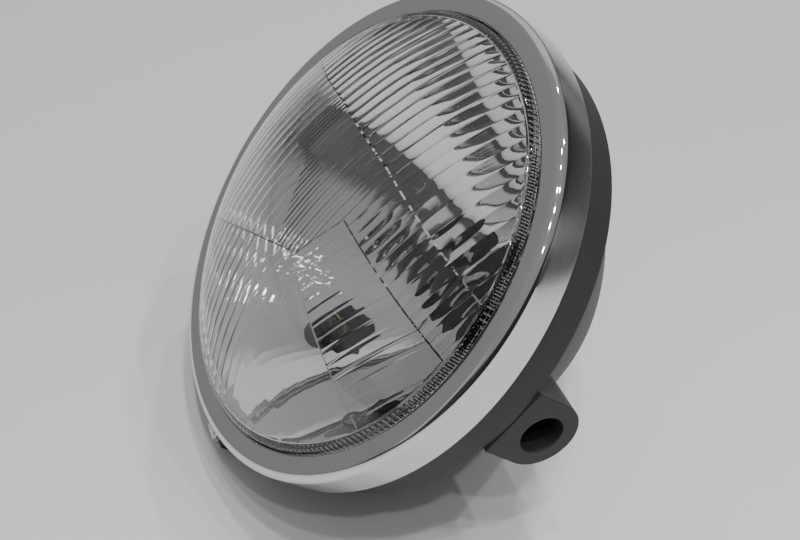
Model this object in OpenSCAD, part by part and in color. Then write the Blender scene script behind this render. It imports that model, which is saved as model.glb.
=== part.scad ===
// Motorcycle headlight with a chrome rim, a domed glass lens and a black plastic bucket on two side ears.
// The lens faces -Y, up is +Z, and the origin is where the lamp axis crosses the axis of the ear bores.
// Inside the modules the lamp axis is Z with the lens in front: z is zero at the rear edge of the rim.

/* [Rim] */
// Outer diameter of the rim's skirt
rim_d = 190; // [176:1:210]
// Depth of the rim from its rear edge to the highest part of its face
rim_depth = 15.9; // [15:0.1:20]
// Thickness of the rim's sheet
rim_sheet = 0.9; // [0.7:0.1:1.1]
// Width of the rim's front face from the skirt's radius to the lens opening
rim_face_w = 9.3; // [8:0.1:11]
// Slope of the rim's face, which rises from the lens opening outwards, in degrees
face_slope = 2.5; // [0:0.5:6]
// Rounding between the rim's face and its skirt
edge_round = 3; // [2:0.1:5]
// Rounding of the lip at the lens opening
lip_round = 1; // [1:0.1:1.5]
// Width of the screw tab at the bottom of the rim
tab_w = 8; // [7:0.5:9]
// How far the screw tab stands out from the skirt
tab_reach = 11.5; // [8:0.5:12]

/* [Bucket] */
// Wall thickness of the bucket
bucket_wall = 3; // [2:0.1:3.5]
// Gap between the skirt of the rim and the flange of the bucket
bucket_gap = 2.6; // [2.2:0.1:3.2]
// How far the bucket's front lip reaches inside the rim
lip_reach = 4.5; // [4:0.1:5]
// How far the flange reaches back behind the rim
flange_back = 16.8; // [14:0.2:20]
// Step from the flange down to the bowl
shoulder_w = 6; // [4:0.5:8]
// Depth of the bowl behind the flange, along the lamp axis
bowl_depth = 70; // [68:0.5:80]
// Slope of the bowl's wall where it starts, from the lamp axis
bowl_slope = 28; // [26:0.5:32]
// Slope of the bowl's wall where it meets the nose
nose_slope = 45; // [42:0.5:48]
// Rounding between the bowl's wall and its flat back
nose_round = 16; // [12:0.5:20]

/* [Ears] */
// Width across the end faces of the two ears
ear_span = 183; // [178:0.5:196]
// Distance from the rim's rear edge back to the axis of the ear bores
ear_back = 32; // [30:0.5:36]
// Radius of the rounded end of each ear
ear_round = 13.8; // [12:0.1:16]
// Diameter of the bore through each ear
ear_bore_d = 16; // [10:0.5:18]
// Length of each ear and its bore
ear_len = 25.5; // [22:0.5:27]

/* [Lens] */
// Rise of the lens dome above the rim's opening
lens_rise = 29; // [22:0.5:34]
// Rounding between the upright edge of the glass and its dome
lens_round = 5; // [4.5:0.5:8]
// Thickness of the glass
lens_t = 4; // [3:0.1:5]
// How far the glass edge laps behind the rim's lip
lens_lap = 2.6; // [2:0.1:3]
// Thickness of the glass edge
lens_edge_t = 2.8; // [2:0.1:3.4]
// Thickness of the rubber between the rim and the glass
gasket_t = 1.9; // [1.6:0.1:2.2]
// Thickness of the seal between the glass and the reflector
seal_t = 1.2; // [0.8:0.1:1.5]

/* [Reflector] */
// Focal length of the reflector
focal = 27; // [25:0.5:29]
// Sheet thickness of the reflector
reflector_sheet = 0.8; // [0.6:0.1:1]
// Largest inner radius of the reflector
reflector_r = 82.5; // [78:0.5:84]
// Radius of the hole for the bulb seat
neck_r = 21; // [20:0.5:22]
// How far the pilot lamp lies from the lamp axis
pilot_drop = 52; // [49:0.5:53]
// Turn of the pilot lamp from straight down, away from the side that the photograph shows, in degrees
pilot_turn = 17; // [0:1:25]
// Radius of the hole for the pilot lamp's holder
pilot_r = 10.5; // [8:0.1:11]
// Radius of the ring that the rubber boot grips
boot_ring_r = 29.5; // [29.5:0.5:31]

/* [Bulb] */
// Radius of the bulb's glass
bulb_r = 8.5; // [7.5:0.1:9]
// Length of the bulb ahead of its flange
bulb_len = 57; // [50:1:60]
// Radius of the bulb's metal shell
shell_r = 11; // [10:0.1:12]
// Radius of the bulb's insulator
insulator_r = 14; // [13:0.1:14.5]
// Width of each terminal blade
blade_w = 8; // [6:0.1:9]
// Turn that frees the locking collar, in degrees
collar_turn = 30; // [20:1:32]

/* [Fastening] */
// Diameter of the rim screw's shank
screw_d = 4.9; // [4:0.1:5]
// Clearance of the rim screw in the tab and in the sheet nut
screw_clear = 0.65; // [0.5:0.05:0.9]
// Thickness of the spring clips and the hook
clip_t = 0.8; // [0.6:0.1:0.9]
// Half width of the hook at the top of the rim
hook_half_w = 7; // [5:0.5:9]
// Number of spring clips that hold the lamp unit in the rim
clip_count = 4; // [3:1:6]

/* [Hidden] */
$fn = 96;
fit = 0.3;                                  // running gap between pieces of different bodies
snug = 0.05;                                 // gap of a close fit within one body

rim_r = rim_d / 2;
skirt_in = rim_r - rim_sheet;                // inside of the skirt
opening_r = rim_r - rim_face_w;              // edge of the lens opening
face_z = rim_depth - 0.3;                    // front face beside the opening
corner_z = face_z + rim_face_w * tan(face_slope); // where face and skirt would meet without their rounding

gasket_front = face_z - rim_sheet - 0.1;
lens_front = gasket_front - gasket_t;        // front of the glass edge
lens_back = lens_front - lens_edge_t;
seal_back = lens_back - seal_t;              // also the front of the reflector's flange
unit_back = seal_back - reflector_sheet;
ring_back = unit_back - 1;                   // rear of the retaining ring
ring_in = reflector_r + 2;                   // the ring passes round the reflector's bowl
lens_edge_r = opening_r + lens_lap;
dome_r = opening_r - 0.6;                    // radius of the dome where it passes the lip
dome_z = face_z - 0.4;                       // height at which the dome starts
dome_flat = dome_r - lens_round;
dome_half = 2 * atan((lens_rise - lens_round) / dome_flat); // slope where the dome meets its rounded edge
dome_ball = lens_round + dome_flat / sin(dome_half);

flange_r = skirt_in - bucket_gap;            // outer radius of the bucket's flange
flange_in = flange_r - bucket_wall;
bowl_r = flange_r - shoulder_w;              // where the bowl's curve starts
bowl_z = -flange_back - 1.2;
// The bowl's wall is an arc whose radius follows from its depth and its two slopes
bowl_arc = (bowl_depth - 1.2 - nose_round * (1 - sin(nose_slope))) / (sin(nose_slope) - sin(bowl_slope));
bowl_centre = [bowl_r - bowl_arc * cos(bowl_slope), bowl_z + bowl_arc * sin(bowl_slope)];
nose_r = bowl_centre[0] + (bowl_arc - nose_round) * cos(nose_slope);
nose_z = bowl_centre[1] - (bowl_arc - nose_round) * sin(nose_slope);
bucket_back = nose_z - nose_round;           // flat back of the bucket

ear_face = ear_span / 2;
ear_root = ear_face - ear_len;

vertex = seal_back - reflector_r * reflector_r / (4 * focal);
neck_back = vertex + 1;                      // rear end of the reflector's neck
seat_t = 0.8;
seat_press = 4;                              // how deep the seat and the centring ring reach into the neck
seat_back = neck_back - seat_t;              // the bulb's flange rests here
seat_in = neck_r - 1.7;                      // hole of the bulb seat
seat_r = neck_r + 5.5;
lug_r = seat_r + 1.5;
lug_angle = 20;
flange_t = 0.8;
flange_rear = seat_back - flange_t;
collar_t = 0.8;
collar_depth = 4;                            // reach of the collar behind the bulb's flange
collar_rear = flange_rear - collar_depth;
collar_front = neck_back + 1.6;              // front end of the collar's skirt
shell_behind = 3;                            // length of the shell behind the bulb's flange
shell_ahead = 10;                            // and ahead of it
insulator_len = 10;
insulator_front = flange_rear - shell_behind;
insulator_back = insulator_front - insulator_len;
blade_len = 12;
blade_back = insulator_back - blade_len;
shell_front = seat_back + shell_ahead;
glass_sunk = 4;                              // how deep the bulb's glass sits in the shell
glass_start = shell_front - glass_sunk;
glass_t = 0.9;
dipped_at = seat_back + 26.8;                // rear end of the dipped beam's filament
dipped_len = 5.5;
main_at = seat_back + 17;                    // rear end of the main beam's filament
main_len = 4.5;
filament_y = 1.8;                            // height of the filaments above the bulb's axis
trough_r = bulb_r - 3.3;
trough_len = 11;
trough_back = dipped_at - 2.8;
wire_x = trough_r + 0.8;                     // the upright wires stand on both sides of the trough
wire_r = 0.4;
lead_r = 0.3;
boot_wall = 2.4;
boot_clear = 0.8;                            // gap round the locking collar inside the boot
boot_back = insulator_back - 1;
boot_grip = 4.5;                             // how far the boot reaches over its ring
boot_ring_back = collar_front + 0.2;         // the ring ends ahead of the collar's skirt

pilot_tube = 12;                             // length of the pilot lamp's tube behind the mirror
pilot_neck_back = para(pilot_drop) - pilot_tube;
pilot_flange_t = 2.4;
pilot_stand = 1;                             // how far the grommet stands ahead of the mirror on its axis
pilot_wall = 5.6;                            // wall of the pilot lamp's grommet
pilot_socket_r = pilot_r - pilot_wall;       // hole of the pilot lamp's grommet
pilot_socket_front = pilot_tube + pilot_stand + 1.5;
pilot_bulb_r = pilot_socket_r - 0.8;

hook_z = 0.6;                                // rear face of the hook's plate
hook_top = 5.9;                              // front end of the hook's strip
window_back = -2.5;
window_front = lip_reach - 1.5;

lug_front = -1.3;                            // front face of the bucket's screw lug
lug_t = 5;
screw_y = rim_r + tab_reach / 2;
lug_end = rim_r + tab_reach - 0.6;
nut_len = 3;

cable_y = -12;                               // cable inlet on the back of the bucket
cable_hole_r = 9;
cable_bore_r = 6;
cable_lip = 2.5;

// Depth of the reflector's mirror at a radius
function para(r) = vertex + r * r / (4 * focal);
function unit(v) = v / norm(v);
// Points of an arc from angle a to angle b
function arc(c, r, a, b, n = 12) = [for (i = [0 : n]) let (t = a + (b - a) * i / n) c + r * [cos(t), sin(t)]];
// Points that round the corner q between p and s with radius r
function corner(p, q, s, r, n = 6) = r == 0 ? [q] :
    let (u = unit(p - q), v = unit(s - q), half = acos(u * v) / 2, c = q + unit(u + v) * r / sin(half),
        g = q + u * r / tan(half) - c, a = atan2(g[1], g[0]), side = sign(u[0] * v[1] - u[1] * v[0]))
    arc(c, r, a, a + side * (2 * half - 180), n);
// A line of points with each inner corner rounded by its own radius
function rounded(p, r) = [p[0],
    for (i = [1 : len(p) - 2]) each corner(p[i - 1], p[i], p[i + 1], r[i]),
    p[len(p) - 1]];
// Direction square to a line of points at point i, on its right-hand side
function across(p, i) =
    let (a = p[max(i - 1, 0)], b = p[min(i + 1, len(p) - 1)], d = unit(b - a)) [d[1], -d[0]];
// Closed outline of a sheet of thickness t that lies along a line of points
function sheet(p, t) = concat(p, [for (i = [len(p) - 1 : -1 : 0]) p[i] + t * across(p, i)]);

module on_axis() rotate([90, 0, 0]) translate([0, 0, ear_back]) children();
module at_pilot(z) rotate([0, 0, -pilot_turn]) translate([0, -pilot_drop, z]) children();
module tube(r_in, r_out, z0, z1) rotate_extrude() translate([r_in, z0]) square([r_out - r_in, z1 - z0]);
// Piece of a tube, cut to a strip of half width w on the side that angle a points to
module strip(r_in, r_out, z0, z1, w, a) intersection() {
    tube(r_in, r_out, z0, z1);
    rotate([0, 0, a]) translate([0, -w, z0 - 1]) cube([r_out + 1, 2 * w, z1 - z0 + 2]);
}

// Bucket: flange, bowl, two ears and the screw lug, all one moulding
module bowl_solid(grow) {
    // grow is 0 for the outside and minus the wall for the inside
    wall_in = -grow;
    front = grow < 0 ? lip_reach + 1 : lip_reach;
    side = arc(bowl_centre, bowl_arc + grow, -bowl_slope, -nose_slope, 24);
    nose = arc([nose_r, nose_z], nose_round + grow, -nose_slope, -90, 8);
    flange = grow < 0
        ? [[flange_in, front], [flange_in, -flange_back + 1.4]]
        : rounded([[flange_r - 1, front], [flange_r, front - 1], [flange_r, -flange_back],
            [bowl_r + 1, bowl_z + 0.9]], [0, 0, 1.2, 0]);
    rotate_extrude() polygon(concat([[0, front]], flange, side, nose, [[0, bucket_back + wall_in]]));
}
module ear_outline_x(x0, x1) {
    for (s = [0 : 180 : 180]) rotate([0, 0, s]) {
        translate([x0, 0, -ear_back]) rotate([0, 90, 0]) cylinder(r = ear_round, h = x1 - x0);
        translate([max(x0, bowl_r - 10), -ear_round, -ear_back])
            cube([x1 - max(x0, bowl_r - 10), 2 * ear_round, ear_back - flange_back]);
        // The web that runs on into the flange stays inside the flange's own outline
        intersection() {
            translate([bowl_r - 10, -ear_round, -flange_back - 1]) cube([20, 2 * ear_round, 6]);
            tube(bowl_r - 20, flange_r - 1.5, -flange_back - 2, -flange_back + 6);
        }
    }
}
module screw_lug() {
    w = 8.5;
    translate([-w, -lug_end, lug_front - lug_t]) cube([2 * w, lug_end - flange_r + 1.5, lug_t]);
    for (s = [-1, 1]) translate([s * (w - 1.25) - 1.25, -flange_r - 4, -flange_back + 2])
        cube([2.5, 5.5, flange_back - 2 + lug_front - lug_t + 1]);
}
module bucket() color([0.17, 0.17, 0.18]) on_axis() difference() {
    union() {
        difference() {
            union() {
                bowl_solid(0);
                screw_lug();
            }
            bowl_solid(-bucket_wall);
        }
        ear_outline_x(ear_root, ear_face);
    }
    for (s = [0 : 180 : 180]) rotate([0, 0, s]) translate([ear_root - 1, 0, -ear_back])
        rotate([0, 90, 0]) cylinder(d = ear_bore_d, h = ear_len + 2);
    translate([-hook_half_w - 1, flange_in - 2, window_back])
        cube([2 * hook_half_w + 2, bucket_wall + 4, window_front - window_back]);
    translate([0, -screw_y, lug_front - lug_t - 1]) cylinder(d = screw_d + 1.5, h = lug_t + 2);
    translate([0, cable_y, bucket_back - 1]) cylinder(r = cable_hole_r, h = bucket_wall + 2);
    // Drain hole at the lowest point of the flange's rear end, behind the lug
    translate([0, -flange_in + 4, -flange_back + 5]) rotate([90, 0, 0]) cylinder(r = 2, h = bucket_wall + 8);
}

module cable_grommet() color([0.1, 0.1, 0.1]) on_axis() translate([0, cable_y, bucket_back]) rotate_extrude()
    polygon([[cable_bore_r, -cable_lip], [cable_hole_r + 1.5, -cable_lip], [cable_hole_r + 2.5, 0],
        [cable_hole_r, 0], [cable_hole_r, bucket_wall], [cable_hole_r + 2.5, bucket_wall],
        [cable_hole_r + 1.5, bucket_wall + cable_lip], [cable_bore_r, bucket_wall + cable_lip]]);

// Folded sheet nut that clips over the bucket's screw lug
module sheet_nut() color([0.72, 0.7, 0.6]) on_axis() {
    back = lug_front - lug_t;
    hole = screw_d / 2 + screw_clear;
    difference() {
        union() {
            translate([-5, -lug_end - clip_t, lug_front]) cube([10, 8, clip_t]);
            translate([-5, -lug_end - clip_t, back - clip_t]) cube([10, 8, clip_t]);
            translate([-5, -lug_end - clip_t, back - clip_t]) cube([10, clip_t, lug_t + 2 * clip_t]);
            translate([0, -screw_y, back - clip_t - nut_len]) cylinder(r = 3.9, h = nut_len + clip_t / 2);
        }
        translate([0, -screw_y, back - clip_t - nut_len - 1])
            cylinder(r = hole, h = nut_len + lug_t + 2 * clip_t + 2);
    }
}

// Rim: one pressed sheet with a lip, a face, a rounded edge and a skirt, and the screw tab below
module rim() color([0.8, 0.8, 0.8]) on_axis() {
    line = rounded([[opening_r, lens_front + 0.6], [opening_r, face_z], [rim_r, corner_z], [rim_r, 0]],
        [0, lip_round, edge_round, 0]);
    rotate_extrude($fn = 180) polygon(sheet(line, rim_sheet));
    difference() {
        translate([-tab_w / 2, -rim_r - tab_reach, 0]) cube([tab_w, tab_reach + 0.8, rim_sheet]);
        translate([0, -screw_y, -1]) cylinder(r = screw_d / 2 + 0.3, h = 3);
        cylinder(r = skirt_in + 0.2, h = 3);
    }
}

// Hook at the top: a strip inside the skirt whose plate drops through the window in the bucket's flange
module rim_hook() color([0.7, 0.7, 0.68]) on_axis() {
    strip(skirt_in - clip_t, skirt_in, hook_z, hook_top, hook_half_w, 90);
    strip(flange_in - 1.9, skirt_in, hook_z, hook_z + clip_t, hook_half_w, 90);
}

module rim_screw() color([0.75, 0.75, 0.72]) on_axis() translate([0, -screw_y, 0]) difference() {
    union() {
        translate([0, 0, -12]) cylinder(d = screw_d, h = 12 + rim_sheet);
        translate([0, 0, rim_sheet]) cylinder(r = 4.2, h = 1.1);
        translate([0, 0, rim_sheet + 1.1]) cylinder(r1 = 4.2, r2 = 2.9, h = 1.1);
    }
    for (a = [0, 90]) rotate([0, 0, a]) translate([-2.2, -0.5, rim_sheet + 0.9]) cube([4.4, 1, 2]);
}

// Spring clips: one leg lies along the skirt, the other presses on the retaining ring
module unit_clips() color([0.7, 0.7, 0.68]) on_axis() {
    half_w = 6;
    leg_back = 1.5;
    for (i = [0 : clip_count - 1]) let (a = 90 + 180 / clip_count + 360 * i / clip_count) {
        strip(skirt_in - clip_t, skirt_in, leg_back, ring_back, half_w, a);
        strip(ring_in, skirt_in, ring_back - clip_t, ring_back, half_w, a);
    }
}

module unit_ring() color([0.68, 0.68, 0.66]) on_axis() tube(ring_in, skirt_in - 0.5, ring_back, unit_back);

// Lens: a thick edge behind the rim's lip, a short wall and the dome
module lens() color([0.85, 0.9, 0.92, 0.45]) on_axis() {
    centre = [0, dome_z + lens_rise - dome_ball];
    turn = [dome_flat, dome_z];
    outside = concat(arc(turn, lens_round, 0, 84 - dome_half, 8),
        arc(centre, dome_ball, 90 - dome_half, 90, 30));
    inside = concat(arc(centre, dome_ball - lens_t, 90, 90 - dome_half, 30),
        arc(turn, lens_round - lens_t, 84 - dome_half, 0, 8));
    edge = [[lens_edge_r, lens_back], [lens_edge_r, lens_front], [dome_r, lens_front]];
    rotate_extrude($fn = 180) polygon(concat(edge, outside, inside, [[dome_r - lens_t, lens_back]]));
}

module lens_gasket() color([0.08, 0.08, 0.08]) on_axis()
    tube(opening_r + rim_sheet + snug, lens_edge_r, lens_front, gasket_front);

module lens_seal() color([0.2, 0.2, 0.2]) on_axis() tube(dome_r - lens_t, lens_edge_r, seal_back, lens_back);

// Reflector: a paraboloid with a flange, a neck for the bulb, a boot ring and a tube for the pilot lamp
module reflector() color([0.85, 0.85, 0.87]) on_axis() {
    mirror_line = [for (i = [0 : 32]) let (r = neck_r + (reflector_r - neck_r) * i / 32) [r, para(r)]];
    ring_out = boot_ring_r + reflector_sheet;
    far = pilot_drop + pilot_r + 2 * reflector_sheet;  // farthest reach of the pilot lamp's tube
    difference() {
        union() {
            rotate_extrude($fn = 120) polygon(sheet(mirror_line, reflector_sheet));
            tube(reflector_r - 0.6, lens_edge_r + 0.7, unit_back, seal_back);
            tube(neck_r, neck_r + reflector_sheet, neck_back, para(neck_r) + 0.3);
            tube(boot_ring_r, ring_out, boot_ring_back, para(boot_ring_r));
            at_pilot(pilot_neck_back) cylinder(r = pilot_r + reflector_sheet, h = para(far) - pilot_neck_back);
        }
        rotate_extrude($fn = 120) polygon(concat([[0, para(neck_r)]], mirror_line,
            [[reflector_r, seal_back + 1], [0, seal_back + 1]]));
        at_pilot(pilot_neck_back - 1) cylinder(r = pilot_r, h = para(far) - pilot_neck_back + 2);
    }
}

// Seat ring pressed into the reflector's neck, with three lugs for the locking collar
module bulb_seat() color([0.7, 0.68, 0.6]) on_axis() {
    tube(seat_in, neck_r - snug, neck_back, neck_back + seat_press);
    tube(seat_in, seat_r, seat_back, neck_back);
    for (a = [0 : 120 : 240]) wedge(seat_r - 0.2, lug_r, seat_back, neck_back, a, a + lug_angle);
}
// Piece of a tube between two angles less than 180 degrees apart
module wedge(r_in, r_out, z0, z1, a, b) translate([0, 0, z0])
    linear_extrude(z1 - z0) polygon(concat(arc([0, 0], r_out, a, b, 8), arc([0, 0], r_in, b, a, 8)));

// The bulb's mounting flange with its three tabs and the ring that centres it in the seat
module bulb_flange() color([0.74, 0.74, 0.72]) on_axis() {
    plate_r = neck_r + 0.5;
    tube(shell_r + snug, plate_r, flange_rear, seat_back);
    tube(seat_in - 1.3, seat_in - 0.4, seat_back, seat_back + seat_press);
    for (a = [90, 200, 340]) wedge(plate_r - 0.2, plate_r + 2.4, flange_rear, seat_back, a - 9, a + 9);
}

module bulb_shell() color([0.76, 0.76, 0.74]) on_axis() difference() {
    union() {
        translate([0, 0, insulator_front]) cylinder(r = shell_r, h = shell_front - 2 - insulator_front);
        translate([0, 0, shell_front - 2]) cylinder(r1 = shell_r, r2 = shell_r - 1.6, h = 2);
    }
    translate([0, 0, glass_start]) cylinder(r = bulb_r + snug, h = glass_sunk + 1);
}

module bulb_insulator() color([0.12, 0.12, 0.13]) on_axis() {
    translate([0, 0, insulator_back]) cylinder(r = insulator_r, h = insulator_front - insulator_back);
}

// Three blades: two side by side below and one across above
module bulb_terminals() color([0.75, 0.7, 0.5]) on_axis() {
    for (p = [[-6, -1, 90], [6, -1, 90], [0, 7, 0]]) translate([p[0], p[1], blade_back]) rotate([0, 0, p[2]])
        translate([-blade_w / 2, -0.4, 0]) cube([blade_w, 0.8, insulator_back - blade_back]);
}

// Outline of the bulb's glass: a tube with a round end
function bulb_line(r) = let (tip = seat_back + bulb_len - bulb_r)
    concat([[r, glass_start]], arc([0, tip], r, 0, 90, 10));
module bulb_glass() color([0.9, 0.93, 0.95, 0.5]) on_axis() rotate_extrude()
    polygon(concat(bulb_line(bulb_r), [for (i = [11 : -1 : 0]) bulb_line(bulb_r - glass_t)[i]]));

// Trough under the dipped beam's filament
module bulb_shield() color([0.8, 0.8, 0.78]) on_axis() difference() {
    translate([0, 0, trough_back]) cylinder(r = trough_r, h = trough_len);
    translate([0, 0, trough_back + 0.6]) cylinder(r = trough_r - 0.6, h = trough_len);
    translate([-bulb_r, filament_y - 1.1, trough_back - 1]) cube([2 * bulb_r, bulb_r, trough_len + 2]);
}

// The two filaments, one behind the other
module bulb_filaments() color([0.6, 0.6, 0.62]) on_axis() {
    translate([0, filament_y, dipped_at]) cylinder(r = 0.7, h = dipped_len);
    translate([0, filament_y, main_at]) cylinder(r = 0.7, h = main_len);
}

// Wires that stand in the shell: two with cross leads to the filaments' ends, one that holds the trough
module bulb_supports() color([0.7, 0.7, 0.72]) on_axis() {
    for (s = [-1, 1]) translate([s * wire_x, filament_y, glass_start])
        cylinder(r = wire_r, h = dipped_at + dipped_len + 1 - glass_start);
    translate([0, -trough_r - wire_r - snug, glass_start])
        cylinder(r = wire_r, h = trough_back + trough_len - 2 - glass_start);
    for (z = [dipped_at + dipped_len, main_at + main_len])
        translate([0, filament_y, z + lead_r + snug]) rotate([0, 90, 0]) cylinder(r = lead_r, h = wire_x);
    for (z = [dipped_at, main_at])
        translate([-wire_x, filament_y, z - lead_r - snug]) rotate([0, 90, 0]) cylinder(r = lead_r, h = wire_x);
}

// Locking collar: a ring behind the bulb's flange whose skirt turns on the seat's three lugs
module bulb_collar() color([0.72, 0.7, 0.62]) on_axis() {
    skirt_r = lug_r - 0.3;
    gap = 2;
    difference() {
        union() {
            tube(insulator_r + 1.6, skirt_r, collar_rear, collar_rear + collar_t);
            tube(skirt_r - collar_t, skirt_r, collar_rear, collar_front);
        }
        for (a = [0 : 120 : 240]) {
            start = a - gap - collar_turn;
            wedge(seat_r, lug_r + 1, seat_back - fit, neck_back + fit, start, a + lug_angle + gap);
            wedge(seat_r, lug_r + 1, seat_back - fit, neck_back + 3, start, start + lug_angle + 2 * gap);
        }
    }
    // Three pads that press on the bulb's flange
    for (a = [60 : 120 : 300])
        wedge(insulator_r + 2.4, neck_r - 0.5, collar_rear + collar_t / 2, flange_rear - fit, a - 12, a + 12);
}

// Rubber boot over the bulb's base, gripped by the reflector's boot ring and round the insulator
module bulb_boot() color([0.09, 0.09, 0.09]) on_axis() {
    mouth = boot_ring_r + reflector_sheet;
    chamber = lug_r + boot_clear;
    front = boot_ring_back + boot_grip;
    outside = rounded([[mouth + boot_wall, front], [mouth + boot_wall, boot_ring_back - 1.6],
        [chamber + boot_wall, collar_rear - 1.6], [insulator_r + boot_wall + 0.4, insulator_front - 5],
        [insulator_r + boot_wall, boot_back]], [0, 1.5, 2, 2, 0]);
    inside = rounded([[insulator_r + snug, boot_back], [insulator_r + snug, insulator_front - 4.4],
        [chamber, collar_rear - 0.6], [chamber, boot_ring_back - snug]], [0, 1, 1, 0]);
    grip = [[mouth + snug, boot_ring_back - snug], [mouth + snug, front]];
    rotate_extrude() polygon(concat(outside, inside, grip));
}

// Pilot lamp: a rubber grommet in the reflector's tube, a metal socket in it and a small bulb in the socket
module pilot_grommet() color([0.07, 0.07, 0.07]) on_axis() at_pilot(pilot_neck_back) difference() {
    body = pilot_tube + pilot_stand;
    union() {
        cylinder(r = pilot_r - snug, h = body);
        translate([0, 0, -pilot_flange_t]) cylinder(r = pilot_r + 2, h = pilot_flange_t);
    }
    translate([0, 0, -pilot_flange_t - 1]) cylinder(r = pilot_socket_r, h = body + pilot_flange_t + 2);
}

module pilot_socket() color([0.78, 0.74, 0.55]) on_axis() at_pilot(pilot_neck_back) difference() {
    translate([0, 0, -5]) cylinder(r = pilot_socket_r - snug, h = pilot_socket_front + 5);
    translate([0, 0, 4]) cylinder(r = pilot_bulb_r, h = pilot_socket_front);
}

module pilot_bulb() color([0.95, 0.9, 0.75, 0.6]) on_axis() at_pilot(pilot_neck_back + 4) rotate_extrude() {
    r = pilot_bulb_r - snug;
    polygon(concat([[0, 0], [r, 0]], arc([0, pilot_socket_front - 1], r, 0, 90, 8)));
}

bucket();
cable_grommet();
sheet_nut();
rim();
rim_hook();
rim_screw();
unit_clips();
unit_ring();
lens();
lens_gasket();
lens_seal();
reflector();
bulb_seat();
bulb_flange();
bulb_shell();
bulb_insulator();
bulb_terminals();
bulb_glass();
bulb_shield();
bulb_filaments();
bulb_supports();
bulb_collar();
bulb_boot();
pilot_grommet();
pilot_socket();
pilot_bulb();
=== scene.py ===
# %% [markdown]
# A motorcycle headlight, dressed for its photograph.
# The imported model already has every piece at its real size. This script keeps the pieces whose shape is
# right and gives them a finish, and it models again the two whose looks need more: the pressed glass and
# the chrome rim.

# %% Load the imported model
import math
import bpy
import numpy as np
from mathutils import Matrix, Vector


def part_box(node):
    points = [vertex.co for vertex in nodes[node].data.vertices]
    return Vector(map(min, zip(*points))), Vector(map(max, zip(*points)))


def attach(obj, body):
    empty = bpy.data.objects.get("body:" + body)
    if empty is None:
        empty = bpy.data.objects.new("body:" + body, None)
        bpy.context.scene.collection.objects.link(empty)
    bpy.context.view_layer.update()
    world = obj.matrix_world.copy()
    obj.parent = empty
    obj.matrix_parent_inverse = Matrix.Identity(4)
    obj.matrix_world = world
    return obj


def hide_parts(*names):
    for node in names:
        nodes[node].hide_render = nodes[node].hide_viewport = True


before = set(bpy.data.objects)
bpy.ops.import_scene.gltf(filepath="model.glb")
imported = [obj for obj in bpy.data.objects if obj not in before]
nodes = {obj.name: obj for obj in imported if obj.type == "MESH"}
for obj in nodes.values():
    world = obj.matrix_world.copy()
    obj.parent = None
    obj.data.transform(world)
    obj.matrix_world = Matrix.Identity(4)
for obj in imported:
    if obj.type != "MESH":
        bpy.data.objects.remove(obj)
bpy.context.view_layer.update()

# %% [markdown]
# The lamp's axis runs along Y and its lens faces -Y. Heights along the axis are easier to think of from the
# rear edge of the rim's skirt, in millimetres, as a maker would measure them, so one helper turns (x, y,
# height) into a point.

# %% Measure along the lamp's axis
mm = 0.001
rim_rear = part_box("rim")[1].y


def at(x, y, z):
    """Point in the row frame, from millimetres: x to the shown ear, y up, z forward from the rim's rear."""
    return Vector((x * mm, rim_rear - z * mm, y * mm))


def height_of(node):
    """Rear and front of a CAD node, in millimetres from the rim's rear edge."""
    low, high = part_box(node)
    return (rim_rear - high.y) / mm, (rim_rear - low.y) / mm


print("rim", height_of("rim"), "lens", height_of("lens"), "bucket", height_of("bucket"))

# %% [markdown]
# The camera comes first, because the photograph fixes it. It stands to the front and right of the lens and
# looks down at the lamp, which lies on its back with the glass tipped up. A focal length of 54 mm matches
# how much smaller the far edge of the rim looks than the near one.

# %% Camera at the photograph's angle
eye = Vector((0.32535, -0.30839, 0.12798))
look = Vector((-0.70911, 0.64025, -0.29547)).normalized()
right = Vector((0.35577, 0.68659, 0.63410)).normalized()
above = right.cross(look).normalized()
camera_data = bpy.data.cameras.new("camera")
camera_data.lens = 54
camera_data.sensor_width = 36
camera_data.clip_start, camera_data.clip_end = 0.01, 60
camera = bpy.data.objects.new("camera", camera_data)
bpy.context.scene.collection.objects.link(camera)
camera.matrix_world = Matrix((
    (right.x, above.x, -look.x, eye.x),
    (right.y, above.y, -look.y, eye.y),
    (right.z, above.z, -look.z, eye.z),
    (0, 0, 0, 1)))
bpy.context.scene.camera = camera
print("camera", [round(v, 3) for v in camera.location])

# %% [markdown]
# The lamp rests on a table on the back of its bucket and the lower edge of its rim, so the table's upward
# direction is tipped in the lamp's own axes. The table is one large plane just under the lowest point, and
# it is clear when seen from underneath, so that the lamp can be looked at from all sides.

# %% Where the table lies
lean = math.radians(40)
table_up = Vector((0, -math.sin(lean), math.cos(lean)))
to_camera = (-look - table_up * (-look).dot(table_up)).normalized()
table_right = to_camera.cross(table_up) * -1
lowest = min(v.co.dot(table_up) for o in nodes.values() for v in o.data.vertices)
print("table below the origin by", round(-lowest / mm, 1), "mm")


def on_table(across, towards, up):
    """Point over the table in metres: to the camera's right, towards the camera, and up from the table."""
    return table_right * across + to_camera * towards + table_up * (lowest + up)


# %% [markdown]
# Shader maths reads best as plain expressions. A small class wraps a socket, and adding or multiplying it
# adds the Math node. Every other node comes from one method that takes the node's type, its settings and
# its sockets.

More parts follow.
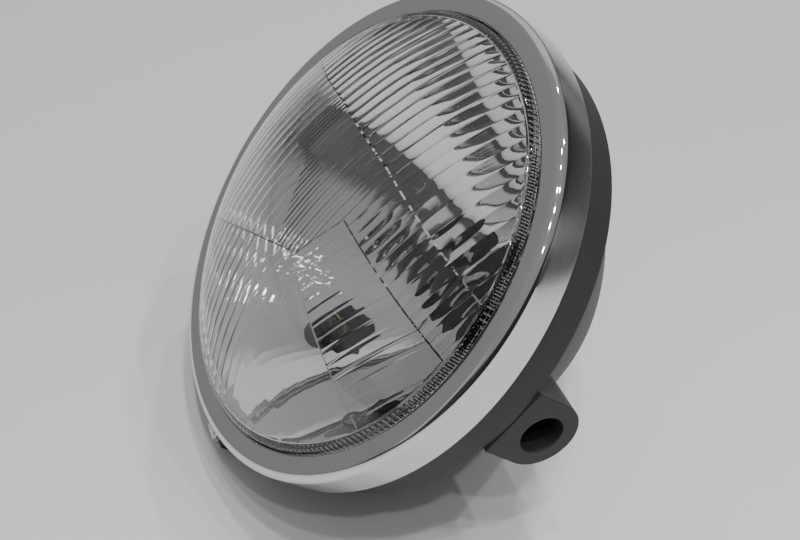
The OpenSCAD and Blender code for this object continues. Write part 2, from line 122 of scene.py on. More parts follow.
# %% A kit for procedural materials
class Value:
    """A number in a material: arithmetic on it adds Math nodes."""

    def __init__(self, finish, socket):
        self.finish, self.socket = finish, socket

    def math(self, operation, *others):
        return self.finish.node("ShaderNodeMath", {"operation": operation}, *[self, *others])

    def __add__(self, other):
        return self.math("ADD", other)

    def __sub__(self, other):
        return self.math("SUBTRACT", other)

    def __rsub__(self, other):
        return self.finish.node("ShaderNodeMath", {"operation": "SUBTRACT"}, other, self)

    def __mul__(self, other):
        return self.math("MULTIPLY", other)

    def __truediv__(self, other):
        return self.math("DIVIDE", other)

    __radd__ = __add__
    __rmul__ = __mul__

    def above(self, other):
        """1 where the value is greater than another, 0 elsewhere."""
        return self.math("GREATER_THAN", other)

    def size(self):
        """The value without its sign."""
        return self.math("ABSOLUTE")

    def ramp(self, start, end, low=0.0, high=1.0):
        """Clamped straight ramp: low at start, high at end."""
        return self.finish.node("ShaderNodeMapRange", {}, self, start, end, low, high)


def socket_name(key):
    """The label of a socket: base_color is Base Color."""
    return key.replace("_", " ").title().replace("Ior", "IOR")


class Nodes:
    """A node tree; node() adds any node and gives back one of its outputs."""

    def __init__(self, tree):
        self.tree = tree

    def feed(self, socket, value):
        """Links a value to a socket, or sets the socket to a constant."""
        if isinstance(value, Value):
            self.tree.links.new(value.socket, socket)
        elif isinstance(value, (tuple, list)) and len(value) == 3 and socket.type == "RGBA":
            socket.default_value = (*value, 1)
        else:
            socket.default_value = value

    def node(self, kind, settings=None, *inputs, out=0, **named):
        n = self.tree.nodes.new(kind)
        for key, value in (settings or {}).items():
            setattr(n, key, value)
        for socket, value in zip(n.inputs, inputs):
            if value is not None:
                self.feed(socket, value)
        for key, value in named.items():
            self.feed(n.inputs[socket_name(key)], value)
        return Value(self, n.outputs[out])

    def mix(self, factor, first, second):
        """Mix of two colours."""
        n = self.tree.nodes.new("ShaderNodeMix")
        n.data_type = "RGBA"
        for index, value in ((0, factor), (6, first), (7, second)):
            self.feed(n.inputs[index], value)
        return Value(self, n.outputs[2])

    def along(self, vector, axis):
        """How far a vector reaches along an axis."""
        return self.node(
            "ShaderNodeVectorMath", {"operation": "DOT_PRODUCT"}, vector, tuple(axis), out="Value")


class Finish(Nodes):
    """One material with its Principled shader."""

    def __init__(self, name, **sockets):
        self.material = bpy.data.materials.new(name)
        self.material.use_nodes = True
        super().__init__(self.material.node_tree)
        self.shader = self.tree.nodes["Principled BSDF"]
        self.out = self.tree.nodes["Material Output"]
        self.set(**sockets)

    def set(self, **sockets):
        """Sets or links the shader's sockets."""
        for key, value in sockets.items():
            self.feed(self.shader.inputs[socket_name(key)], value)

    def place(self, scale=(1, 1, 1)):
        """Object coordinates, scaled."""
        coords = self.node("ShaderNodeTexCoord", out="Object")
        return self.node("ShaderNodeMapping", {}, coords, None, None, scale)

    def split(self, coords):
        """x, y and z of a point as three values."""
        n = self.tree.nodes.new("ShaderNodeSeparateXYZ")
        self.feed(n.inputs[0], coords)
        return [Value(self, n.outputs[i]) for i in range(3)]

    def noise(self, coords, scale, detail=3.0, roughness=0.5):
        return self.node("ShaderNodeTexNoise", {}, coords, None, scale, detail, roughness)

    def bump(self, height, strength, distance, **others):
        return self.node("ShaderNodeBump", {}, Strength=strength, Distance=distance, Height=height, **others)


def dress(piece, finish):
    """Gives a piece one finish all over."""
    piece.data.materials.clear()
    piece.data.materials.append(finish.material)


# %% [markdown]
# The bucket is moulded in black plastic with a fine spark-eroded grain. The grain is a small noise in the
# bump and a little unevenness in the roughness; the colour stays a very dark grey, because under studio
# light even black plastic shows a grey sheen. A Bevel node rounds the edges in the shading alone, by 0.9
# mm.

# %% Bucket plastic
plastic = Finish("bucket_plastic", specular_ior_level=0.42)
eroded = plastic.noise(plastic.place(), 2600, 2.0)
patches = plastic.noise(plastic.place(), 38, 4.0)
edge_round = plastic.node("ShaderNodeBevel", {"samples": 6}, Radius=0.0009)
plastic.set(
    base_color=plastic.mix(patches, (0.026, 0.026, 0.028), (0.038, 0.037, 0.040)),
    roughness=eroded * 0.14 + patches * 0.1 + 0.42,
    normal=plastic.bump(eroded, 0.22, 0.0002, Normal=edge_round))
print("bucket finish", len(plastic.tree.nodes), "nodes")

# %% [markdown]
# Chrome plating is a mirror with a light grey tint. It is never perfectly clean: a faint haze of wiping
# marks raises the roughness here and there by a few hundredths. The skirt was polished along with a belt
# and is a little duller than the rounding and the face, so what it shows is blurred.

# %% Chrome
belt_front, belt_rear = 13.0, 11.0
chrome = Finish("rim_chrome", metallic=1.0)
haze = chrome.noise(chrome.place(), 26, 5.0, 0.6)
wipe = chrome.noise(chrome.place((1, 4, 1)), 90, 3.0)
from_rear = rim_rear / mm - chrome.split(chrome.place())[1] / mm
chrome.set(
    base_color=chrome.mix(haze, (0.76, 0.76, 0.76), (0.66, 0.66, 0.67)),
    roughness=(haze * wipe).ramp(0.1, 0.5, 0.02, 0.06) + from_rear.ramp(belt_front, belt_rear, 0.0, 0.12))
print("chrome finish", len(chrome.tree.nodes), "nodes")

# %% [markdown]
# The lens is clear pressed glass. The shader does the refraction, and the flutes are in the mesh. A trace
# of haze in the roughness keeps it from looking like a perfect crystal. A bulb's glass is blown so thin
# that light passes it nearly straight, so it is a mirror that is almost clear where one looks straight at
# it and shines towards its edges.

# %% Glasses
lens_glass = Finish("lens_glass", transmission_weight=1.0, ior=1.5)
smear = lens_glass.noise(lens_glass.place(), 22, 4.0)
lens_glass.set(
    base_color=lens_glass.mix(smear, (0.97, 0.98, 0.975), (0.94, 0.955, 0.95)),
    roughness=smear.ramp(0.45, 0.8, 0.0, 0.03))

bulb_glass = Finish("bulb_glass", metallic=1.0)
film = bulb_glass.noise(bulb_glass.place(), 60, 3.0)
shine = bulb_glass.node("ShaderNodeFresnel", IOR=1.6)
bulb_glass.set(
    base_color=bulb_glass.mix(film, (0.95, 0.95, 0.95), (0.88, 0.89, 0.90)),
    roughness=film.ramp(0.5, 0.9, 0.01, 0.04),
    alpha=shine * 1.4 + 0.01)
print("glass finishes", len(lens_glass.tree.nodes), "and", len(bulb_glass.tree.nodes), "nodes")

# %% [markdown]
# The reflector is a steel pressing with a vacuum-coated mirror inside and grey lacquer behind. One material
# serves both sides: it compares each point's height with the paraboloid, and where the point lies on the
# inner skin it is mirror. The mirror's slope is taken from the paraboloid too, so no facet of the mesh
# shows in what it reflects.

# %% Mirror inside, lacquer behind
focal, mouth_r, skin_depth = 27.0, 82.5, 0.3
vertex = height_of("lens_seal")[0] - mouth_r ** 2 / (4 * focal)
mirror = Finish("reflector_mirror")
x, y, z = mirror.split(mirror.place())
depth = (rim_rear / mm) - y / mm
over_curve = depth - ((x * x + z * z) / (mm * mm * 4 * focal) + vertex)
inside = over_curve.above(-skin_depth)
speck = mirror.noise(mirror.place(), 420, 2.0)
mist = mirror.noise(mirror.place(), 18, 3.0)
steep = -2 * focal * mm
curve = mirror.node("ShaderNodeCombineXYZ", {}, x / steep, -1, z / steep)
turned_curve = mirror.node("ShaderNodeVectorTransform",
    {"vector_type": "NORMAL", "convert_from": "OBJECT", "convert_to": "WORLD"}, curve)
face = mirror.node("ShaderNodeNewGeometry", out="Normal")
silver = mirror.mix(mist, (0.90, 0.90, 0.89), (0.84, 0.84, 0.83))
mirror.set(
    normal=mirror.mix(inside, face, turned_curve),
    base_color=mirror.mix(inside, (0.20, 0.20, 0.21), silver),
    metallic=inside,
    roughness=inside.ramp(0, 1, 0.45, 0.0) + mist * 0.02 + speck * 0.01)
print("paraboloid starts", round(vertex, 2), "mm from the rim's rear edge")

# %% [markdown]
# The small metal parts share a recipe: a base metal, a fine brushed or rolled grain and a little dulling.
# The recipe is one function, called with each metal's own colour and roughness.

# %% Small metals
def sheet_metal(name, light, dark, rough):
    """Metal with a rolled grain and a little dulling."""
    finish = Finish(name, metallic=1.0)
    rolled = finish.noise(finish.place((1, 8, 1)), 900, 2.0)
    dull = finish.noise(finish.place(), 70, 4.0)
    finish.set(
        base_color=finish.mix(dull, light, dark),
        roughness=dull * 0.16 + rolled * 0.08 + rough,
        normal=finish.bump(rolled, 0.08, 0.0001))
    return finish


zinc = sheet_metal("zinc_plate", (0.66, 0.64, 0.56), (0.50, 0.48, 0.40), 0.24)
spring = sheet_metal("spring_steel", (0.50, 0.50, 0.51), (0.36, 0.36, 0.38), 0.22)
nickel = sheet_metal("nickel_plate", (0.72, 0.70, 0.66), (0.58, 0.57, 0.54), 0.14)
dark_steel = sheet_metal("blackened_steel", (0.06, 0.058, 0.055), (0.03, 0.03, 0.03), 0.3)
brass = sheet_metal("tinned_brass", (0.72, 0.64, 0.42), (0.56, 0.47, 0.28), 0.24)
tungsten = sheet_metal("tungsten_wire", (0.42, 0.42, 0.44), (0.32, 0.32, 0.34), 0.3)


# %% [markdown]
# Rubber, sealant and the bulb's insulator aren't metal. They are matt, with pores in the bump and a little
# dust that lightens them, so they share a second recipe.

# %% Rubber, sealant and insulator
def matt(name, light, dark, rough, grain):
    """Matt finish with pores and dust."""
    finish = Finish(name, specular_ior_level=0.35)
    pores = finish.noise(finish.place(), grain, 3.0)
    dust = finish.noise(finish.place(), 50, 4.0)
    finish.set(
        base_color=finish.mix(dust, dark, light),
        roughness=dust * 0.15 + rough,
        normal=finish.bump(pores, 0.3, 0.0002))
    return finish


rubber = matt("black_rubber", (0.034, 0.034, 0.035), (0.018, 0.018, 0.019), 0.62, 1400)
sealant = matt("grey_sealant", (0.46, 0.46, 0.46), (0.34, 0.34, 0.345), 0.5, 900)
insulator = matt("dark_insulator", (0.045, 0.042, 0.042), (0.028, 0.026, 0.026), 0.36, 700)

# %% [markdown]
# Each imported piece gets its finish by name. The rim and the lens are in the list too, so that no piece is
# bare while their new shapes are still to come.

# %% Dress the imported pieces
finishes = {
    "bucket": plastic, "cable_grommet": rubber, "sheet_nut": zinc, "rim": chrome,
    "rim_hook": spring, "rim_screw": zinc, "unit_clips": spring, "unit_ring": spring,
    "lens": lens_glass, "lens_gasket": rubber, "lens_seal": sealant, "reflector": mirror,
    "bulb_seat": dark_steel, "bulb_flange": dark_steel, "bulb_shell": nickel, "bulb_insulator": insulator,
    "bulb_terminals": brass, "bulb_glass": bulb_glass, "bulb_shield": nickel, "bulb_filaments": tungsten,
    "bulb_supports": nickel, "bulb_collar": zinc, "bulb_boot": rubber, "pilot_grommet": rubber,
    "pilot_socket": brass, "pilot_bulb": bulb_glass}
for name, finish in finishes.items():
    dress(nodes[name], finish)
print("pieces without a finish", sorted(set(nodes) - set(finishes)))

# %% [markdown]
# Turned pieces come from one helper. It takes a circle with as many points as the outline has, moves the
# points onto the outline, and spins it round the lamp's axis, as a lathe turns a piece. Corners of an
# outline are rounded by arcs.

# %% Helpers for new pieces
def only(piece):
    """Selects one piece and nothing else."""
    bpy.ops.object.select_all(action="DESELECT")
    bpy.context.view_layer.objects.active = piece
    piece.select_set(True)


def face_outwards():
    """In edit mode, turns all faces of the piece outwards."""
    bpy.ops.mesh.select_all(action="SELECT")
    bpy.ops.mesh.normals_make_consistent(inside=False)


def turned(name, outline, steps):
    """A closed outline of (radius, height) in millimetres, spun round the lamp's axis."""
    bpy.ops.object.select_all(action="DESELECT")
    bpy.ops.mesh.primitive_circle_add(vertices=len(outline), radius=0.01)
    piece = bpy.context.object
    piece.name = name
    for v, (r, z) in zip(piece.data.vertices, outline):
        v.co = at(r, 0, z)
    bpy.ops.object.mode_set(mode="EDIT")
    bpy.ops.mesh.select_all(action="SELECT")
    bpy.ops.mesh.spin(steps=steps, angle=math.tau, center=(0, 0, 0), axis=(0, 1, 0))
    bpy.ops.mesh.select_all(action="SELECT")
    bpy.ops.mesh.remove_doubles(threshold=2e-6)
    bpy.ops.mesh.delete_loose()
    face_outwards()
    bpy.ops.object.mode_set(mode="OBJECT")
    print(name, "faces", len(piece.data.polygons))
    return piece


def arc(centre, radius, start, end, steps):
    """Points of an arc, angles in degrees."""
    turns = [math.radians(start + (end - start) * i / steps) for i in range(steps + 1)]
    return [(centre[0] + radius * math.cos(t), centre[1] + radius * math.sin(t)) for t in turns]


def rounded(points, radii, steps):
    """A line of points whose inner corners are rounded, each by its own radius."""
    line = [points[0]]
    for before, here, after, radius in zip(points, points[1:], points[2:], radii):
        p, q, s = (Vector(v) for v in (before, here, after))
        u, v = (p - q).normalized(), (s - q).normalized()
        half = math.acos(max(-1, min(1, u.dot(v)))) / 2
        centre = q + (u + v).normalized() * radius / math.sin(half)
        first = q + u * radius / math.tan(half) - centre
        last = q + v * radius / math.tan(half) - centre
        start = math.degrees(math.atan2(first.y, first.x))
        end = math.degrees(math.atan2(last.y, last.x))
        end += 360 * round((start - end) / 360)
        line += arc(centre, radius, start, end, steps)
    return line + [points[-1]]


def open_edges(piece):
    """Number of edges that don't have exactly two faces."""
    edges = np.empty(len(piece.data.loops), dtype=int)
    piece.data.loops.foreach_get("edge_index", edges)
    return int((np.bincount(edges, minlength=len(piece.data.edges)) != 2).sum())


def smooth(piece, angle):
    """Smooth shading, with an edge kept where two faces meet at more than an angle in degrees."""
    only(piece)
    bpy.ops.object.shade_smooth_by_angle(angle=math.radians(angle))


# %% [markdown]
# The lens is what people look at. On the real lamp it is one pressing: smooth outside, and inside divided
# into zones of upright flutes that spread the beam. The dome is part of a ball, and a rounded shoulder
# leads from it to a short straight wall. Its sizes, in millimetres, come first.

# %% Sizes of the glass
dome_r, dome_foot, rise = 85.1, 15.2, 29.0
glass, shoulder_r = 4.0, 5.0
inner_shoulder_r = shoulder_r - glass
lens_rear, edge_front, edge_r = 9.9, 12.7, 88.3
flat_r = dome_r - shoulder_r
dome_turn = 2 * math.atan((rise - shoulder_r) / flat_r)
ball = shoulder_r + flat_r / math.sin(dome_turn)
crown = dome_foot + rise
inner_edge = flat_r + inner_shoulder_r * math.sin(dome_turn)
pattern_r = inner_edge - 0.4
print("dome is part of a ball of", round(ball, 1), "mm radius")


def inner_height(r):
    """Height of the plain inner face at a distance from the axis."""
    return crown - ball + np.sqrt((ball - glass) ** 2 - r ** 2)


# %% [markdown]
# Three lines part the inner face from bottom to top: low, middle and high. Wide flutes fill the top and the
# left, fine ones the middle and broad ones the right, and a clear wedge under the middle line has slanted
# ribs. Places and widths follow the photograph. A flute is a formula, so the whole pattern is one.

# %% The lens pattern
low_x, low_y = 15, -12.8
middle_x, middle_y = 25, 9.8
high_x, high_y = 20, 31.4
broad_x = 24.8
wide_pitch, fine_pitch, broad_pitch = 5.12, 2.05, 3.66
rib_pitch, rib_start, rib_lean = 4.4, 16.5, math.radians(18.4)
uneven_step = 2.4


def low_line(x):
    """Lower edge of the beam zones: two slopes that meet right of the middle."""
    return np.where(x > low_x, low_y - 0.352 * (x - low_x), low_y + 0.465 * (x - low_x))


def middle_line(x):
    """Upper edge of the wedge: level, and falling a little at the right."""
    return np.where(x > middle_x, middle_y - 0.085 * (x - middle_x), middle_y)


def high_line(x):
    """Lower edge of the top zone: level, and falling a little at both ends."""
    return high_y - np.clip(np.abs(x) - high_x, 0, None) * 0.1


def flute(x, pitch, swell):
    """Rounded rib of one flute, swell high in its middle and a little uneven from flute to flute."""
    part = np.mod(x / pitch, 1.0) * 2 - 1
    uneven = 1 + 0.12 * np.sin(uneven_step * np.floor(x / pitch))
    return swell * uneven * (1 - part ** 2)


def slanted_ribs(x, y):
    """The clear wedge: thin slanted ribs, and between them strips that each tip a little their own way."""
    across = x * math.cos(rib_lean) - (y - low_y) * math.sin(rib_lean) - rib_start
    rib = np.abs(np.mod(across / rib_pitch + 0.5, 1.0) - 0.5) * rib_pitch
    tip = np.sin(uneven_step * np.floor(across / rib_pitch))
    strip = (np.mod(across / rib_pitch, 1.0) - 0.5) * tip
    return 0.36 + 0.16 * np.exp(-(rib / 0.4) ** 2) + flute(across, rib_pitch, 0.04) + 0.07 * strip


def bottom_flutes(x, y):
    """The bottom: upright flutes that fade to the right, and slanted ones near the lower edge."""
    upright = flute(x, wide_pitch, 0.11) * np.clip((28 - x) / 16, 0, 1)
    slanted = flute(x - 0.35 * (y + 60), wide_pitch, 0.09) * np.clip((-48 - y) / 8, 0, 1)
    return 0.05 + upright + slanted


def pressed(x, y):
    """Slow waves left by the pressing, stronger in the deep flutes at the top and the right."""
    waves = np.sin(1.45 * x + 1.3 * np.sin(0.31 * y)) + np.sin(1.27 * y + 1.1 * np.sin(0.23 * x))
    deep = (y > high_line(x)) | ((x > broad_x) & (y > middle_line(x)))
    return waves * np.where(deep, 0.022, 0.003)


def pattern(x, y):
    """How much thicker the glass is than its plain shell, in millimetres."""
    wedge_left = broad_x + 0.32 * (y - middle_y)
    fine_left = np.where(y > middle_y, -26, -10 - 0.72 * (y - middle_y))
    top = 0.72 + flute(x, wide_pitch, 0.44)
    wide = 0.5 + flute(x, wide_pitch, 0.15)
    fine = 0.5 + flute(x, fine_pitch, 0.19)
    broad = 0.58 + flute(x - broad_x, broad_pitch, 0.28)
    left = np.where(x > fine_left, fine, wide)
    out = np.where(y > high_line(x), top, np.where(x > broad_x, broad, left))
    out = np.where(y < middle_line(x), np.where(x > wedge_left, slanted_ribs(x, y), left), out)
    out = np.where(y < low_line(x), bottom_flutes(x, y), out)
    return out + pressed(x, y)


# %% [markdown]
# The inner face starts as a grid whose points are moved onto the pattern. Each zone has its own rows of the
# grid, and two rows lie close together at each line, so the step between two zones is crisp.

# %% The fluted inner face, from a grid
columns, wall, closest = 500, 0.25, 0.02
share = ((low_line, 16), (middle_line, 56), (high_line, 12), (None, 20))
rows = sum(n for _, n in share) + 3


def row_places(x):
    """Heights of the grid's rows at one column."""
    half = math.sqrt(pattern_r ** 2 - x ** 2)
    places, start, left = [], -half, rows
    for line, count in share:
        left -= count + 1
        end, gap = half, 0.0
        if line:
            end = min(max(float(line(x)), start + count * closest), half - (left + 1) * closest)
            gap = wall
        places += list(np.linspace(start, end - gap, count + 1))
        start = end + wall
    return places


bpy.ops.object.select_all(action="DESELECT")
bpy.ops.mesh.primitive_grid_add(x_subdivisions=columns, y_subdivisions=rows, size=2)
lens = bpy.context.object
lens.name = "fluted_lens"
flat = np.empty(len(lens.data.vertices) * 3)
lens.data.vertices.foreach_get("co", flat)
flat = flat.reshape(-1, 3)
column = np.rint((flat[:, 0] + 1) / 2 * columns).astype(int)
row = np.rint((flat[:, 1] + 1) / 2 * rows).astype(int)
edge = pattern_r - 0.35
place_x = np.linspace(-edge, edge, columns + 1)
place_y = np.array([row_places(v) for v in place_x])
px = place_x[column]
py = place_y[column, row]
outermost = (column == 0) | (column == columns)
px = np.where(outermost, np.sign(px) * np.sqrt(pattern_r ** 2 - py ** 2), px)
inner_face = inner_height(np.hypot(px, py)) - pattern(px, py)
points = np.stack([px * mm, rim_rear - inner_face * mm, py * mm], 1)
lens.data.vertices.foreach_set("co", points.ravel())
lens.data.update()
print("lens pattern", len(lens.data.polygons), "faces")

# %% [markdown]
# Round the pattern the glass has a ring of small teeth on the inside of its wall, and then the flat edge
# that the rim holds. Outside come the wall, the shoulder and the dome. Both are rings of points, each
# extruded from the one before, and the teeth are made by moving the points of three rings in and out.

# %% The toothed ring, the edge and the dome
teeth = 228
wave = np.array([0.15, -0.19, -0.19, 0.15])
wall_r = dome_r - glass


def ring(radius, height, count, wave=None):
    """Points of one ring; wave sets the points of each tooth in or out."""
    turn = np.arange(count) * math.tau / count
    reach = radius + (np.zeros(count) if wave is None else np.tile(wave, count // len(wave)))
    return [at(r * math.cos(t), r * math.sin(t), height) for t, r in zip(turn, reach)]


def shoulder(radius, tilt):
    """Radius and height on a shoulder, at a tilt from the axis."""
    return flat_r + radius * math.sin(tilt), dome_foot + radius * math.cos(tilt)


def ringed(name, rings, cap=False):
    """Rings of points joined in turn: a circle is added, and its edge is extruded on to each next ring."""
    bpy.ops.object.select_all(action="DESELECT")
    bpy.ops.mesh.primitive_circle_add(vertices=len(rings[0]), radius=0.01)
    piece = bpy.context.object
    piece.name = name
    bpy.ops.object.mode_set(mode="EDIT")
    bpy.ops.mesh.select_all(action="SELECT")
    for _ in rings[1:]:
        bpy.ops.mesh.extrude_edges_move(
            MESH_OT_extrude_edges_indiv={},
            TRANSFORM_OT_translate={"value": (0, 0, 0.001)})
    if cap:
        bpy.ops.mesh.edge_face_add()
        bpy.ops.mesh.poke()
    bpy.ops.object.mode_set(mode="OBJECT")
    for number, points in enumerate(rings):
        for index, point in enumerate(points):
            piece.data.vertices[number * len(points) + index].co = point
    return piece


inner_points = len(wave) * teeth
tilts = np.linspace(dome_turn, math.pi / 2, 5)
tooth_rings = [ring(*shoulder(inner_shoulder_r, tilt), inner_points) for tilt in tilts]
for radius, height in ((wall_r + 0.05, 14.9), (wall_r + 0.3, 12.6), (83.9, 10.6)):
    tooth_rings.append(ring(radius, height, inner_points, wave))
for radius, height in ((84.6, lens_rear), (edge_r, lens_rear), (edge_r, edge_front)):
    tooth_rings.append(ring(radius, height, inner_points))
tooth_ring = ringed("tooth_ring", tooth_rings)

dome_steps, corner = 20, 0.15
dome_rings = [
    ring(edge_r - 0.05, edge_front, teeth),
    ring(dome_r + corner, edge_front, teeth),
    ring(dome_r, edge_front + corner, teeth),
    ring(dome_r, dome_foot - corner, teeth)]
for tilt in np.linspace(math.pi / 2, dome_turn, 9):
    dome_rings.append(ring(*shoulder(shoulder_r, tilt), teeth))
for i in range(1, dome_steps):
    tilt = dome_turn * (1 - i / dome_steps)
    dome_rings.append(ring(ball * math.sin(tilt), crown - ball + ball * math.cos(tilt), teeth))
dome = ringed("dome", dome_rings, cap=True)
pole = dome.data.vertices[len(dome_rings) * teeth]
pole.co = at(0, 0, crown)
print("tooth ring", len(tooth_rings), "rings, dome", len(dome_rings), "rings")

# %% [markdown]
# The grid's outermost points are close together at the top and bottom and far apart at the sides, while the
# ring's are even. Bridging would pair them by count and twist the strip, so the gap between them is filled,
# which pairs neighbours. The ring and the dome are both even, and are bridged.

# %% Join the three and close the gaps between them
gap_reach = 0.45


def close_gap(piece, radius, close):
    """Selects the open edges near a radius and closes the gap between them."""
    bpy.ops.object.mode_set(mode="EDIT")
    bpy.ops.mesh.select_mode(type="EDGE")
    bpy.ops.mesh.select_all(action="DESELECT")
    bpy.ops.mesh.select_non_manifold(
        extend=False, use_wire=False, use_boundary=True, use_multi_face=False,
        use_non_contiguous=False, use_verts=False)
    bpy.ops.object.mode_set(mode="OBJECT")
    points = piece.data.vertices
    for e in piece.data.edges:
        if e.select:
            middle = (points[e.vertices[0]].co + points[e.vertices[1]].co) / 2
            e.select = abs(math.hypot(middle.x, middle.z) / mm - radius) < gap_reach
    near = [e for e in piece.data.edges if e.select]
    chosen = {i for e in near for i in e.vertices}
    for v in points:
        v.select = v.index in chosen
    print("closed at radius", round(radius, 2), "edges", len(near))
    bpy.ops.object.mode_set(mode="EDIT")
    close()
    bpy.ops.object.mode_set(mode="OBJECT")


bpy.ops.object.select_all(action="DESELECT")
for piece in (tooth_ring, dome, lens):
    piece.select_set(True)
bpy.context.view_layer.objects.active = lens
bpy.ops.object.join()
close_gap(lens, 0.5 * (pattern_r + inner_edge), bpy.ops.mesh.fill)
close_gap(lens, edge_r - 0.02, bpy.ops.mesh.bridge_edge_loops)
only(lens)
bpy.ops.object.mode_set(mode="EDIT")
face_outwards()
bpy.ops.object.mode_set(mode="OBJECT")
smooth(lens, 18)
dress(lens, lens_glass)
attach(lens, "front")
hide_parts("lens")
triangles = sum(len(p.vertices) - 2 for p in lens.data.polygons)
print("lens triangles", triangles, "open edges", open_edges(lens))

# %% [markdown]
# The rim is one pressed sheet. Chrome shows every facet, so it is spun again with close steps and finely
# rounded corners: a small lip at the glass, a broad face that rises a little outwards, a large rounding,
# and the skirt, whose rear edge is bevelled by a hair so that it shows as a thin bright line.

# %% Chrome rim
outer_line = rounded([(85.7, 13.3), (85.7, 15.6), (95, 16.0), (95, 0.4), (94.75, 0)], [0.7, 3.0, 0.1], 14)
inner_line = rounded([(86.6, 13.3), (86.6, 14.73), (94.1, 15.05), (94.1, 0)], [0.3, 2.1], 8)
rim = turned("chrome_rim", outer_line + inner_line[::-1], 360)

# %% [markdown]
# At the bottom the sheet goes on as a small flat tab, flush with the skirt's rear edge. The screw passes
# through its hole. The tab is a block with bevelled edges, and the hole is a boolean cut.

# %% Screw tab
tab_width, tab_root, tab_end = 8.0, 94.3, 106.5
sheet, hole_r = 0.9, 2.75
bpy.ops.object.select_all(action="DESELECT")
bpy.ops.mesh.primitive_cube_add(size=1, location=at(0, -(tab_root + tab_end) / 2, sheet / 2))
tab = bpy.context.object
tab.name = "screw_tab"
tab.scale = (tab_width * mm, sheet * mm, (tab_end - tab_root) * mm)
screw_low, screw_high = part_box("rim_screw")
screw_axis = (screw_low.z + screw_high.z) / 2 / mm
bpy.ops.object.select_all(action="DESELECT")
bpy.ops.mesh.primitive_cylinder_add(
    vertices=48, radius=hole_r * mm, depth=0.01,
    location=at(0, screw_axis, 0), rotation=(math.pi / 2, 0, 0))
drill = bpy.context.object
for piece in (tab, drill):
    only(piece)
    bpy.ops.object.transform_apply(location=True, rotation=True, scale=True)
only(tab)
cut = tab.modifiers.new("hole", "BOOLEAN")
cut.operation, cut.solver, cut.object = "DIFFERENCE", "EXACT", drill
bpy.ops.object.modifier_apply(modifier="hole")
soften = tab.modifiers.new("soften", "BEVEL")
soften.width, soften.segments, soften.limit_method = 0.12 * mm, 2, "ANGLE"
bpy.ops.object.modifier_apply(modifier="soften")
bpy.data.objects.remove(drill)
print("tab open edges", open_edges(tab), "faces", len(tab.data.polygons))

# %% [markdown]
# Tab and rim are one piece of sheet, so they are joined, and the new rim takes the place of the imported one.

# %% Join the tab and dress the rim
only(rim)
tab.select_set(True)
bpy.ops.object.join()
smooth(rim, 40)
dress(rim, chrome)
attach(rim, "front")
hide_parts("rim")
print("rim open edges", open_edges(rim))

# %% [markdown]
# The lamp lies on a pale table. It reaches a few metres back and to the left and ends closer by at the
# camera's right, and chrome and mirror show where it ends. Its colour holds painted light: it is painted a
# little whiter towards the camera and its right, where the light on it is brighter.

# %% Table
corners = ((2.5, -3.5), (-2.4, -3.5), (0.9, 0.6), (-2.4, 1.9))
table_gap = 0.0003
bpy.ops.object.select_all(action="DESELECT")
bpy.ops.mesh.primitive_plane_add(size=1)
table = bpy.context.object
table.name = "table"
for v, (across, towards) in zip(table.data.vertices, corners):
    v.co = on_table(across, towards, -table_gap)
paper = Finish("table_paper", roughness=0.5, specular_ior_level=0.25)
cloud = paper.noise(paper.place(), 2.2, 3.0)
# Painted light: this ramp paints the paper whiter towards the camera and its right, in place of brighter
# light there.
painted_light_ramp = paper.along(paper.place(), to_camera + table_right * 0.45).ramp(-0.14, 0.11)
far_white = paper.mix(cloud, (0.76, 0.76, 0.76), (0.81, 0.81, 0.805))
painted_lit_white = paper.mix(cloud, (0.89, 0.89, 0.89), (0.94, 0.94, 0.935))
paper.set(base_color=paper.mix(painted_light_ramp, far_white, painted_lit_white))
underneath = paper.node("ShaderNodeNewGeometry", out="Backfacing")
clear = paper.node("ShaderNodeBsdfTransparent")
shown = Value(paper, paper.shader.outputs[0])
blend = paper.node("ShaderNodeMixShader", None, underneath, shown, clear)
paper.tree.links.new(blend.socket, paper.out.inputs["Surface"])
dress(table, paper)
print("table corners", [[round(c, 2) for c in v.co] for v in table.data.vertices])

# %% [markdown]
# Small lamps high over the table light the lamp, so the shadows are short and fall under the rim. They are
# far apart and small, so each flute and each rounding of the chrome shows them as separate points, which is
# what makes glass and chrome sparkle. Most of the soft light comes from the pale ceiling between them.

# %% Lamps
def direction(azimuth, elevation):
    """Unit vector over the table: azimuth in degrees from the camera's side to the right."""
    a, e = math.radians(azimuth), math.radians(elevation)
    return (table_right * math.sin(a) + to_camera * math.cos(a)) * math.cos(e) + table_up * math.sin(e)


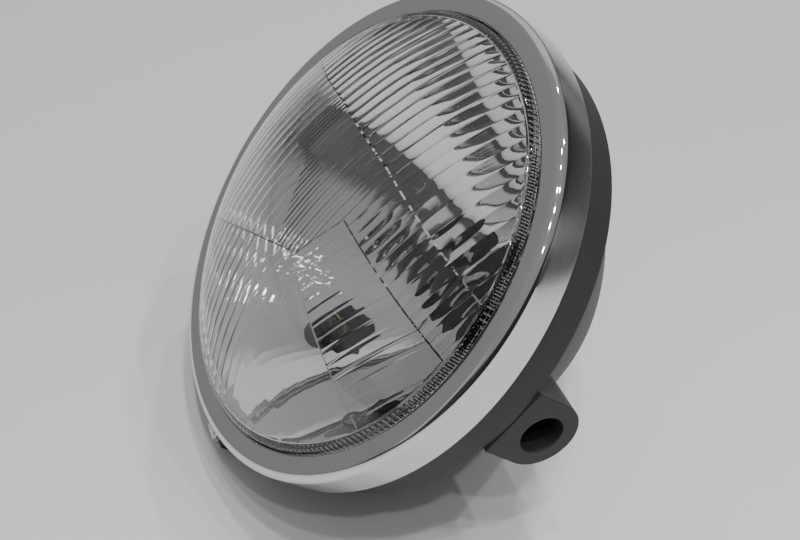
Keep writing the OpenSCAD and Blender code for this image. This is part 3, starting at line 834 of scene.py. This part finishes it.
def disc_lamp(name, azimuth, elevation):
    """A round lamp in a direction, turned to the headlight."""
    data = bpy.data.lights.new(name, "AREA")
    data.shape = "DISK"
    data.size = lamp_size
    data.energy = lamp_power
    lamp = bpy.data.objects.new(name, data)
    bpy.context.scene.collection.objects.link(lamp)
    lamp.location = direction(azimuth, elevation) * lamp_distance
    lamp.rotation_mode = "QUATERNION"
    lamp.rotation_quaternion = (-lamp.location).to_track_quat("-Z", "Y")


lamp_distance, lamp_size, lamp_power = 1.8, 0.055, 3.0
overhead = ((9, 58), (4, 67), (-7, 79), (26, 69), (65, 62), (105, 64), (60, 81), (100, 85), (150, 60))
for number, (azimuth, elevation) in enumerate(overhead):
    disc_lamp("ceiling_%d" % number, azimuth, elevation)
print("lamps", len(overhead))

# %% [markdown]
# The room is pale and even above the table's height and dark below it. Chrome and glass show where it isn't
# even: a bright window behind the lamp, a paler patch to the left, a darker place to the right, dark places
# low down on the camera's side, a thin dark line low on the right, and one on the left at the table's
# height. Each is a soft-edged rectangle seen in one direction: azimuth, elevation, half width, half height
# and softness, all in degrees, and then its level.

# %% Room
world = bpy.data.worlds.new("room")
bpy.context.scene.world = world
world.use_nodes = True
room = Nodes(world.node_tree)
view = room.node("ShaderNodeTexCoord", out="Generated")


def panel(azimuth, elevation, wide, high, soft):
    """1 inside a rectangle round a direction, falling to 0 over a soft edge."""
    centre = direction(azimuth, elevation)
    side = direction(azimuth + 90, 0)
    ahead = room.along(view, centre)
    x = (room.along(view, side) / ahead).size()
    y = (room.along(view, side.cross(centre)) / ahead).size()
    w, h, s = (math.tan(math.radians(v)) for v in (wide, high, soft))
    return x.ramp(w + s, w) * y.ramp(h + s, h) * ahead.above(0)


panels = (
    (180, 36, 22, 16, 10, 0.66),
    (-58, 14, 12, 12, 8, 0.46),
    (114, 0, 11, 12, 10, 0.11),
    (26, 2, 46, 24, 6, 0.03),
    (-30, 2, 20, 20, 8, 0.05),
    (100, 10, 60, 3.5, 2.5, 0.04),
    (-58, 0, 22, 4, 3, 0.06))
height_over = room.along(view, table_up)
shade = height_over.ramp(-0.03, 0.03, 0.08, 0.26) + height_over.ramp(0.1, 1.0, 0.0, 0.06)
for *shape, level in panels:
    shade = shade + (level - shade) * panel(*shape)
background = world.node_tree.nodes["Background"]
room.feed(background.inputs["Color"], room.mix(shade, (0, 0, 0), (1, 1, 1.01)))
print("room panels", len(panels))
